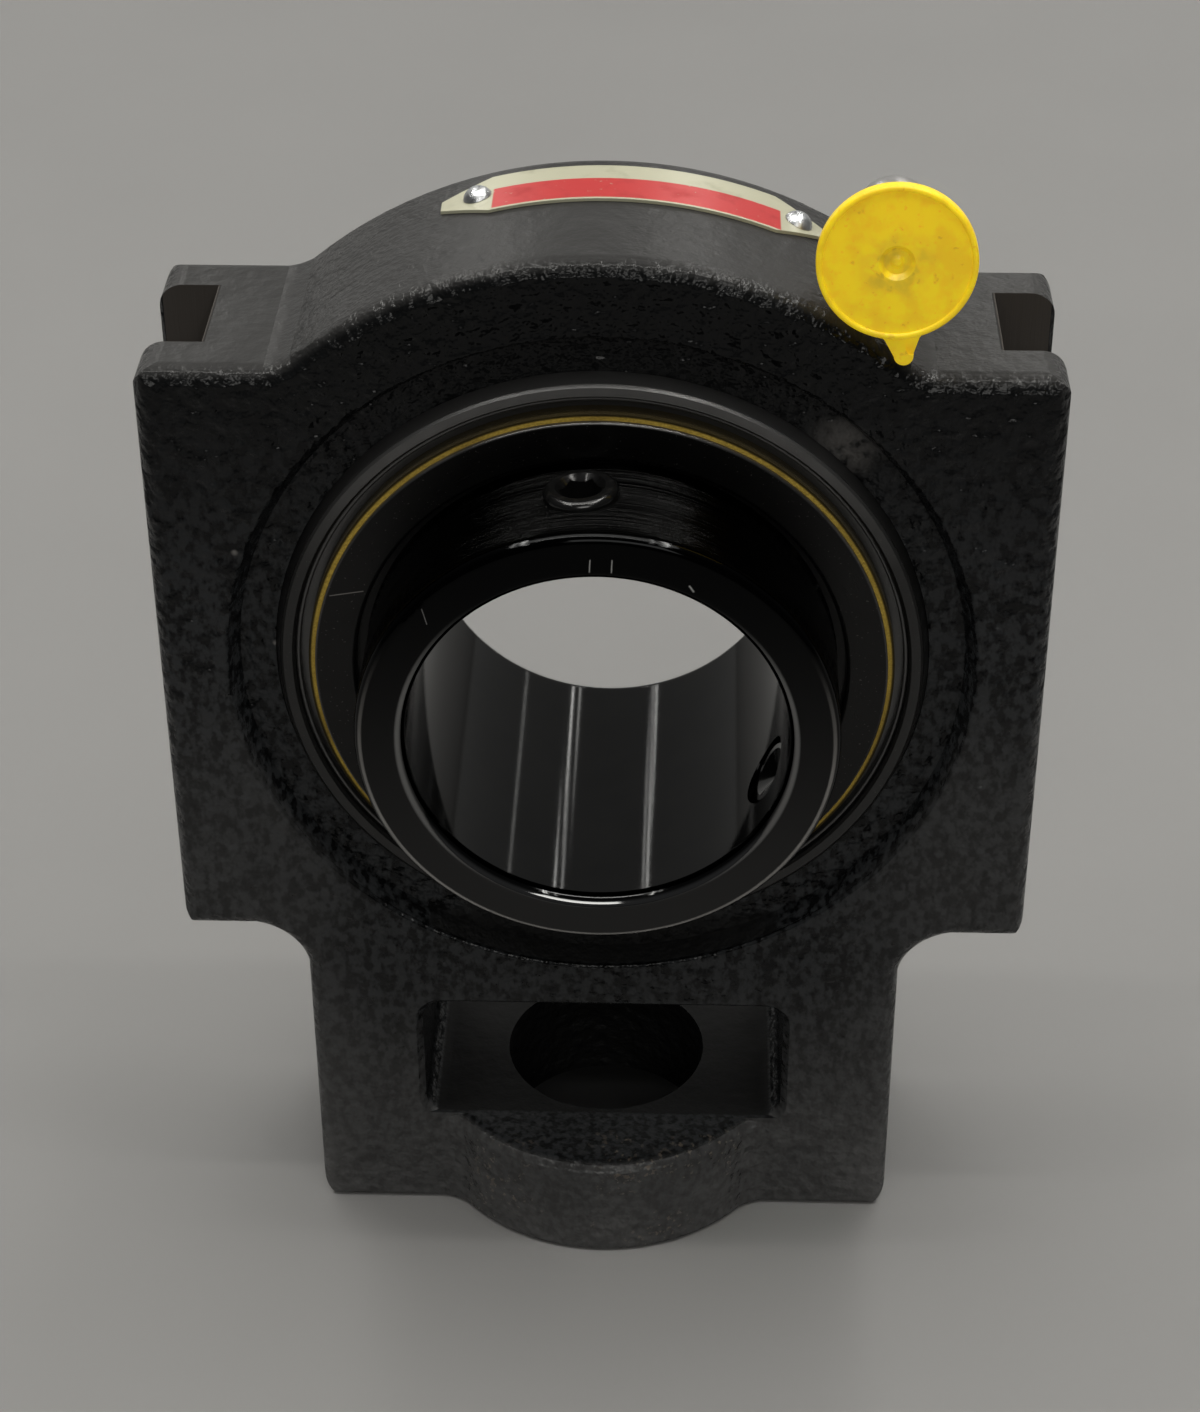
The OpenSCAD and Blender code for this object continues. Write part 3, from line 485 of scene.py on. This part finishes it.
def satin(name, level, top_painted_level, gloss, edge_r, marks=()):
    f = Finish(name)
    point = place(f)
    fx, fy, fz = axes(f, point)
    reach = from_axis(fx, fz)
    turned = grooves(f, reach + fy, 4.0, 2.0)
    cloud = grain(f, point, 5.0)
    specks = between(f, grain(f, point, 0.35, detail=1.0), 0.7, 0.76)
    # Painted highlight: a paler line round the outer edge.
    edge_painted_highlight = between(f, reach, edge_r - EDGE_HIGHLIGHT_MM, edge_r) * (0.4 + 0.6 * cloud)
    # Painted light and shade: the tone changes towards the top.
    tone = mix(f, between(f, fz, TOP_FROM_Z, TOP_FULL_Z), grey(level, 0.01), grey(top_painted_level, 0.01))
    tone = mix(f, 0.3 * cloud, tone, grey(level * 0.5))
    tone = mix(f, 0.3 * specks, tone, grey(0.2, 0.05))
    tone = mix(f, edge_painted_highlight, tone, grey(0.16, 0.02))
    for start, end, width in marks:
        tone = mix(f, scratch(f, point, start, end, width), tone, grey(0.22, 0.05))
    gloss_map = gloss + 0.12 * cloud + 0.1 * turned
    f.surface(Base_Color=tone, Metallic=0.85, Roughness=gloss_map, Normal=relief(f, 0.006 * turned))
    return f


ring_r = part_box("outer_ring")[1].x / MM
ring_satin = satin("ring_satin", level=0.045, top_painted_level=0.17, gloss=0.26, edge_r=ring_r)
dress(ring_satin, "outer_ring")

shield_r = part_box("front_shield")[1].x / MM
shield_satin = satin("shield_satin", level=0.1, top_painted_level=0.15, gloss=0.22, edge_r=shield_r)
dress(shield_satin, "front_shield", "rear_shield")

flinger_low, flinger_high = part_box("front_flinger")
flinger_y = flinger_low.y / MM
flinger_r = flinger_high.x / MM
left_mark = ((-35.3, flinger_y, 11.8), (-30.7, flinger_y, 12.6), 0.12)
right_mark = ((24.3, flinger_y, 19.7), (25.6, flinger_y, 18.0), 0.15)
flinger_marks = [left_mark, right_mark]
flinger_satin = satin("flinger_satin", 0.019, 0.005, gloss=0.2, edge_r=flinger_r, marks=flinger_marks)
dress(flinger_satin, "front_flinger", "rear_flinger")

# %% [markdown]
# The seal between shield and flinger is a ring of gold felt, and only its edge shows.
# Felt is pressed fibre with no weave, so fine stretched noise in two directions makes colour and relief.
# Hair could make real fibres, but too little of the felt shows for that.
# It is oily in places, which darkens it, and its outer side, tucked under the shield, is blackened with
# painted shade.

# %% Felt
LIGHT_GOLD = (0.62, 0.44, 0.085, 1)
DARK_GOLD = (0.24, 0.155, 0.025, 1)
OILED_FELT = (0.13, 0.085, 0.02, 1)
FELT_SIDE_PAINTED_SHADE = (0.01, 0.008, 0.004, 1)

felt_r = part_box("front_felt")[1].x / MM
felt = Finish("gold_felt")
spot_mm = place(felt)
x, _, z = axes(felt, spot_mm)
fibre = grain(felt, spot_mm, 0.3, detail=4.0, stretch=(1, 2.5, 1))
tangle = grain(felt, spot_mm, 0.8, detail=3.0, stretch=(2, 1, 1))
oily = between(felt, grain(felt, spot_mm, 9.0), 0.45, 0.75)
outer_side = between(felt, from_axis(x, z), felt_r - 0.5, felt_r - 0.2)
colour = mix(felt, fibre, DARK_GOLD, LIGHT_GOLD)
colour = mix(felt, 0.6 * oily, colour, OILED_FELT)
# Painted shade: the outer side is nearly black.
colour = mix(felt, 0.95 * outer_side, colour, FELT_SIDE_PAINTED_SHADE)
fluff = relief(felt, 0.12 * fibre + 0.1 * tangle)
felt.surface(Base_Color=colour, Roughness=0.95 - 0.25 * oily, Normal=fluff)
felt.surface(Sheen_Weight=0.03, Specular_IOR_Level=0.1)
dress(felt, "front_felt", "rear_felt")

# %% [markdown]
# The set screws are blackened too. Keys have rubbed the rim of the socket grey and a little duller.
# The distance from the bore's axis is the height on a screw, so it can find that rim on both screws.

# %% Set screws
SOCKET_RIM_FROM = 31.2
SOCKET_RIM_FULL = 32.1

screw_oxide = Finish("screw_black_oxide")
spot_mm = place(screw_oxide)
x, _, z = axes(screw_oxide, spot_mm)
at_rim = between(screw_oxide, from_axis(x, z), SOCKET_RIM_FROM, SOCKET_RIM_FULL)
worn = grain(screw_oxide, spot_mm, 0.9, detail=3.0) * at_rim
colour = mix(screw_oxide, between(screw_oxide, worn, 0.5, 0.8), grey(0.04), grey(0.1, 0.02))
screw_oxide.surface(Base_Color=colour, Metallic=0.9, Roughness=0.14 + 0.12 * worn)
screw_oxide.surface(Normal=relief(screw_oxide, 0.004 * grain(screw_oxide, spot_mm, 0.6)))
dress(screw_oxide, "set_screw_1", "set_screw_2")

# %% [markdown]
# The cap on the grease fitting is a soft yellow plastic, moulded and handled with oily gloves.
# A little light goes into such plastic, so some subsurface keeps its shadows warm. A small emission of the
# same colour paints light on the cap, so that it glows: a stronger lamp would also light the black paint.
# Smears and specks of grime cross the face, and thumbs have left smudges round the dimple.

# %% Yellow cap
CLEAN_YELLOW = (0.97, 0.68, 0.012, 1)
SMEARED_YELLOW = (0.84, 0.56, 0.011, 1)
SMUDGE = (0.45, 0.33, 0.03, 1)
GRIME = (0.35, 0.23, 0.02, 1)
SMUDGE_OUTER_R = 6.0
SMUDGE_INNER_R = 2.4

cap_low, cap_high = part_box("fitting_cap")
cap_half = (cap_high.x - cap_low.x) / 2
cap_x = (cap_low.x + cap_half) / MM
cap_z = (cap_high.z - cap_half) / MM

yellow = Finish("yellow_plastic")
spot_mm = place(yellow)
x, _, z = axes(yellow, spot_mm)
from_middle = ((x - cap_x) ** 2 + (z - cap_z) ** 2) ** 0.5
smear = between(yellow, grain(yellow, spot_mm, 3.0, detail=3.0), 0.4, 0.65)
grime = between(yellow, grain(yellow, spot_mm, 1.0, detail=3.0), 0.6, 0.75)
thumbed = between(yellow, grain(yellow, spot_mm, 2.2), 0.35, 0.65)
pressed = between(yellow, from_middle, SMUDGE_OUTER_R, SMUDGE_INNER_R) * thumbed
colour = mix(yellow, smear, CLEAN_YELLOW, SMEARED_YELLOW)
colour = mix(yellow, 0.5 * pressed, colour, SMUDGE)
colour = mix(yellow, 0.4 * grime, colour, GRIME)
moulded = relief(yellow, 0.03 * grain(yellow, spot_mm, 2.2) + 0.008 * grain(yellow, spot_mm, 0.4))
yellow.surface(Base_Color=colour, Roughness=0.34 + 0.2 * smear + 0.15 * grime, Normal=moulded)
yellow.surface(Subsurface_Weight=0.3, Subsurface_Scale=0.003, Subsurface_Radius=(1.0, 0.7, 0.1))
# Painted light: the cap glows in its own colour, though it is no lamp.
yellow.surface(Emission_Color=colour, Emission_Strength=0.24)
dress(yellow, "fitting_cap")

# %% [markdown]
# The fitting and the rivets are plated steel. Zinc plate is pale and a little blotchy, the pin is ground,
# the cage is brass and the balls are polished.
# One function makes every bright metal from a colour, a gloss and the size of its blotches.

# %% Bright metals
def bright_metal(name, tint, gloss, blotch, relief_mm):
    f = Finish(name)
    point = place(f)
    cloud = grain(f, point, blotch, detail=3.0)
    fine = grain(f, point, blotch / 6)
    dark = tuple(0.7 * part for part in tint[:3]) + (1,)
    f.surface(Base_Color=mix(f, cloud, dark, tint), Metallic=1.0, Roughness=gloss + 0.18 * cloud)
    f.surface(Normal=relief(f, relief_mm * fine))
    return f


BRASS = (0.62, 0.42, 0.16, 1)
ball_names = sorted(name for name in nodes if name.startswith("ball_"))
dress(bright_metal("fitting_zinc", grey(0.5, 0.02), gloss=0.28, blotch=2.5, relief_mm=0.02), "grease_fitting")
dress(bright_metal("pin_steel", grey(0.42, 0.02), gloss=0.25, blotch=2.0, relief_mm=0.006), "lock_pin")
dress(bright_metal("cage_brass", BRASS, gloss=0.24, blotch=3.0, relief_mm=0.01), "cage")
ball_steel = bright_metal("ball_steel", grey(0.72), gloss=0.06, blotch=3.0, relief_mm=0.001)
dress(ball_steel, "fitting_ball", *ball_names)
dress(bright_metal("rivet_zinc", grey(0.72, -0.02), gloss=0.2, blotch=1.0, relief_mm=0.05), "plate_rivets")

# %% [markdown]
# Inside the fitting a small coil spring carries the check ball, and it shortens when a grease gun pushes the
# ball in. A coil of the same size is made here in place of the solid spring, which is hidden.
# Stacked rings would look alike, but one bevelled curve is a single wire from end to end, as the real one is.

# %% Check spring
WIRE_R = 0.15 * MM
TURNS = 6
STEPS_A_TURN = 16

lift = next(joint for joint in frame["joints"] if joint["name"] == "check_ball_lift")
along = Vector(lift["axis"]).normalized()
ball_low, ball_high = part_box("fitting_ball")
ball_middle = (ball_low + ball_high) / 2
solid = nodes["fitting_spring"]
arms = [solid.matrix_world @ corner.co - ball_middle for corner in solid.data.vertices]
near = min(along.dot(arm) for arm in arms)
far = max(along.dot(arm) for arm in arms)
coil_r = max((arm - along * along.dot(arm)).length for arm in arms) - WIRE_R

wire = bpy.data.curves.new("check_spring", "CURVE")
wire.dimensions = "3D"
wire.bevel_depth = WIRE_R
wire.use_fill_caps = True
steps = TURNS * STEPS_A_TURN
line = wire.splines.new("POLY")
line.points.add(steps)
side = along.orthogonal().normalized()
other = along.cross(side)
for step, point in enumerate(line.points):
    angle = math.tau * step / STEPS_A_TURN
    depth = near + WIRE_R + (far - near - 2 * WIRE_R) * step / steps
    at = ball_middle + along * depth + (side * math.cos(angle) + other * math.sin(angle)) * coil_r
    point.co = (*at, 1)

bent = bpy.data.objects.new("check_spring_wire", wire)
spring = bpy.data.objects.new("check_spring", bpy.data.meshes.new_from_object(bent))
spring_wire = bright_metal("spring_wire", grey(0.55), gloss=0.2, blotch=0.8, relief_mm=0.004)
spring.data.materials.append(spring_wire.material)
bpy.context.scene.collection.objects.link(spring)
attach(spring, "housing")
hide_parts("fitting_spring")
pressed_share = 1 - lift["range_m"][1] / (far - near)
ball_middle + along * far
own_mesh(spring)
print("spring in mm:", round((far - near) / MM, 2), "faces:", len(spring.data.polygons))

# %% [markdown]
# The nameplate is a thin printed strip that follows the arch: cream, with a red band along its front.
# The band is a field of colour worked out from depth and from the angle round the arch, so it needs no
# picture. Print wears where fingers lift the unit, so a little cream shows through the red.

# %% Nameplate
BAND_FRONT_Y = 1.95
BAND_BACK_Y = 7.6
BAND_LEFT = math.radians(-13.6)
BAND_RIGHT = math.radians(21.9)
PRINT_EDGE_MM = 0.08
PRINT_EDGE_TURN = 0.002

plate = Finish("printed_plate")
spot_mm = place(plate)
x, y, z = axes(plate, spot_mm)
turn = plate.node("ShaderNodeMath", {"operation": "ARCTAN2"}, {0: x, 1: z})
band = within(plate, y, BAND_FRONT_Y, BAND_BACK_Y, PRINT_EDGE_MM)
band = band * within(plate, turn, BAND_LEFT, BAND_RIGHT, PRINT_EDGE_TURN)
worn = between(plate, grain(plate, spot_mm, 0.8, detail=4.0), 0.66, 0.74)
soil = between(plate, grain(plate, spot_mm, 4.0, detail=3.0), 0.5, 0.8)
cream = mix(plate, soil, (0.45, 0.44, 0.32, 1), (0.34, 0.33, 0.23, 1))
red = mix(plate, soil, (0.49, 0.02, 0.02, 1), (0.39, 0.018, 0.018, 1))
colour = mix(plate, band * (1 - 0.6 * worn), cream, red)
plate.surface(Base_Color=colour, Roughness=0.32 + 0.2 * soil, Metallic=0.15)
plate.surface(Normal=relief(plate, 0.02 * band + 0.01 * grain(plate, spot_mm, 1.5)))
dress(plate, "nameplate")

# %% [markdown]
# The stage is a plain pale floor. It would shine up through the hole for the take-up screw, which looks dark
# on the real unit, so a round patch of painted shade lies under the hole. The part covers that painted shade.

# %% Floor
FLOOR_HALF = 6.0
HOLE_SHADE_R = 15.5

floor_z = cad_low.z
corners = [(-1, -1), (1, -1), (1, 1), (-1, 1)]
floor_mesh = bpy.data.meshes.new("floor")
floor_points = [(FLOOR_HALF * cx, FLOOR_HALF * cy, floor_z) for cx, cy in corners]
floor_mesh.from_pydata(floor_points, [], [(0, 1, 2, 3)])
floor = bpy.data.objects.new("floor", floor_mesh)
bpy.context.scene.collection.objects.link(floor)
floor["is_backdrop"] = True

pale = Finish("pale_floor")
spot_mm = place(pale)
hole_painted_shade = spot(pale, spot_mm, (0, 0, floor_z / MM), HOLE_SHADE_R, 0.2)
colour = mix(pale, grain(pale, spot_mm, 60.0), grey(0.216, 0.014), grey(0.234, 0.014))
# Painted shade: a dark round patch on the floor under the screw hole.
colour = mix(pale, hole_painted_shade, colour, grey(0.01))
pale.surface(Base_Color=colour, Roughness=0.55)
floor_mesh.materials.append(pale.material)
print("floor at mm:", round(floor_z / MM, 2))

# %% [markdown]
# Black gloss shows mostly what it mirrors. A picture of a room could light it, but separate lamps can each be
# chosen by what they put on the part. The camera doesn't see them. A wall of light behind greys the top
# faces. A panel and a tube overhead light the rounded rims. Four thin tubes, each in two lengths with a step
# between, draw the paired streaks in the bore, and a tube far to the side draws the faint one. Two stronger
# tubes make the glints on the cast edges. A small panel in front keeps the yellow cap clear.

# %% Lamps
WARM_WHITE = (1.0, 0.985, 0.94)
ROOM_LEVEL = 0.06
TUBE_UP = 1.35
TUBE_WIDE = 0.018
TUBE_GAP = 0.04
FAR_LONG = 1.8
NEAR_LONG = 2.76
NEAR_STEP = 0.08


def panel(name, at, aim, width, depth, radiance):
    """A flat lamp that looks equally bright from everywhere: its power grows with its area."""
    lamp = bpy.data.lights.new(name, "AREA")
    lamp.shape = "RECTANGLE"
    lamp.size = width
    lamp.size_y = depth
    lamp.energy = radiance * math.pi * width * depth
    lamp.color = WARM_WHITE
    made = bpy.data.objects.new(name, lamp)
    made.location = at
    made.visible_camera = False
    made.rotation_euler = (Vector(aim) - Vector(at)).to_track_quat("-Z", "Y").to_euler()
    bpy.context.scene.collection.objects.link(made)


def tube(name, tube_x, middle_y, length, radiance):
    """A thin lamp under the ceiling that runs away from the camera and looks straight down."""
    panel(name, (tube_x, middle_y, TUBE_UP), (tube_x, middle_y, 0), TUBE_WIDE, length, radiance)


panel("back_wall", (0.0, 1.7, 0.75), (0, 0, 0.75), 5.0, 1.9, 0.36)
panel("overhead", (0.0, 0.05, 1.4), (0, 0.05, 0), 1.5, 0.7, 2.4)
panel("cross_tube", (0.0, -0.2, 1.38), (0, -0.2, 0), 1.2, 0.03, 42)
for tube_x, gap_y, radiance in [(0.5, 1.99, 28), (0.38, 1.99, 12), (-0.92, 2.29, 26), (-0.84, 2.29, 12)]:
    tube("far_tube", tube_x, gap_y + (TUBE_GAP + FAR_LONG) / 2, FAR_LONG, radiance)
    tube("near_tube", tube_x + NEAR_STEP, gap_y - (TUBE_GAP + NEAR_LONG) / 2, NEAR_LONG, radiance)
tube("side_tube", 1.72, 3.1, 1.6, 13)
for glint_x in (-0.72, 0.62):
    tube("glint_tube", glint_x, 0.35, 2.3, 50)
panel("front", (0.15, -1.3, 0.9), (0, 0, 0), 0.8, 0.5, 4)

world = bpy.data.worlds.new("soft_room")
world.use_nodes = True
room = world.node_tree.nodes["Background"]
room.inputs["Color"].default_value = grey(1.0, -0.01)
room.inputs["Strength"].default_value = ROOM_LEVEL
bpy.context.scene.world = world
bpy.context.scene.view_settings.view_transform = "Standard"

# %% [markdown]
# The last cell compares the dressed part's box with the solids' box, because a finish must not change a size.

# %% Sizes
seen_low, seen_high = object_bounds()
grown = (seen_high - seen_low) - (cad_high - cad_low)
print("grew by mm:", [round(side / MM, 3) for side in grown])
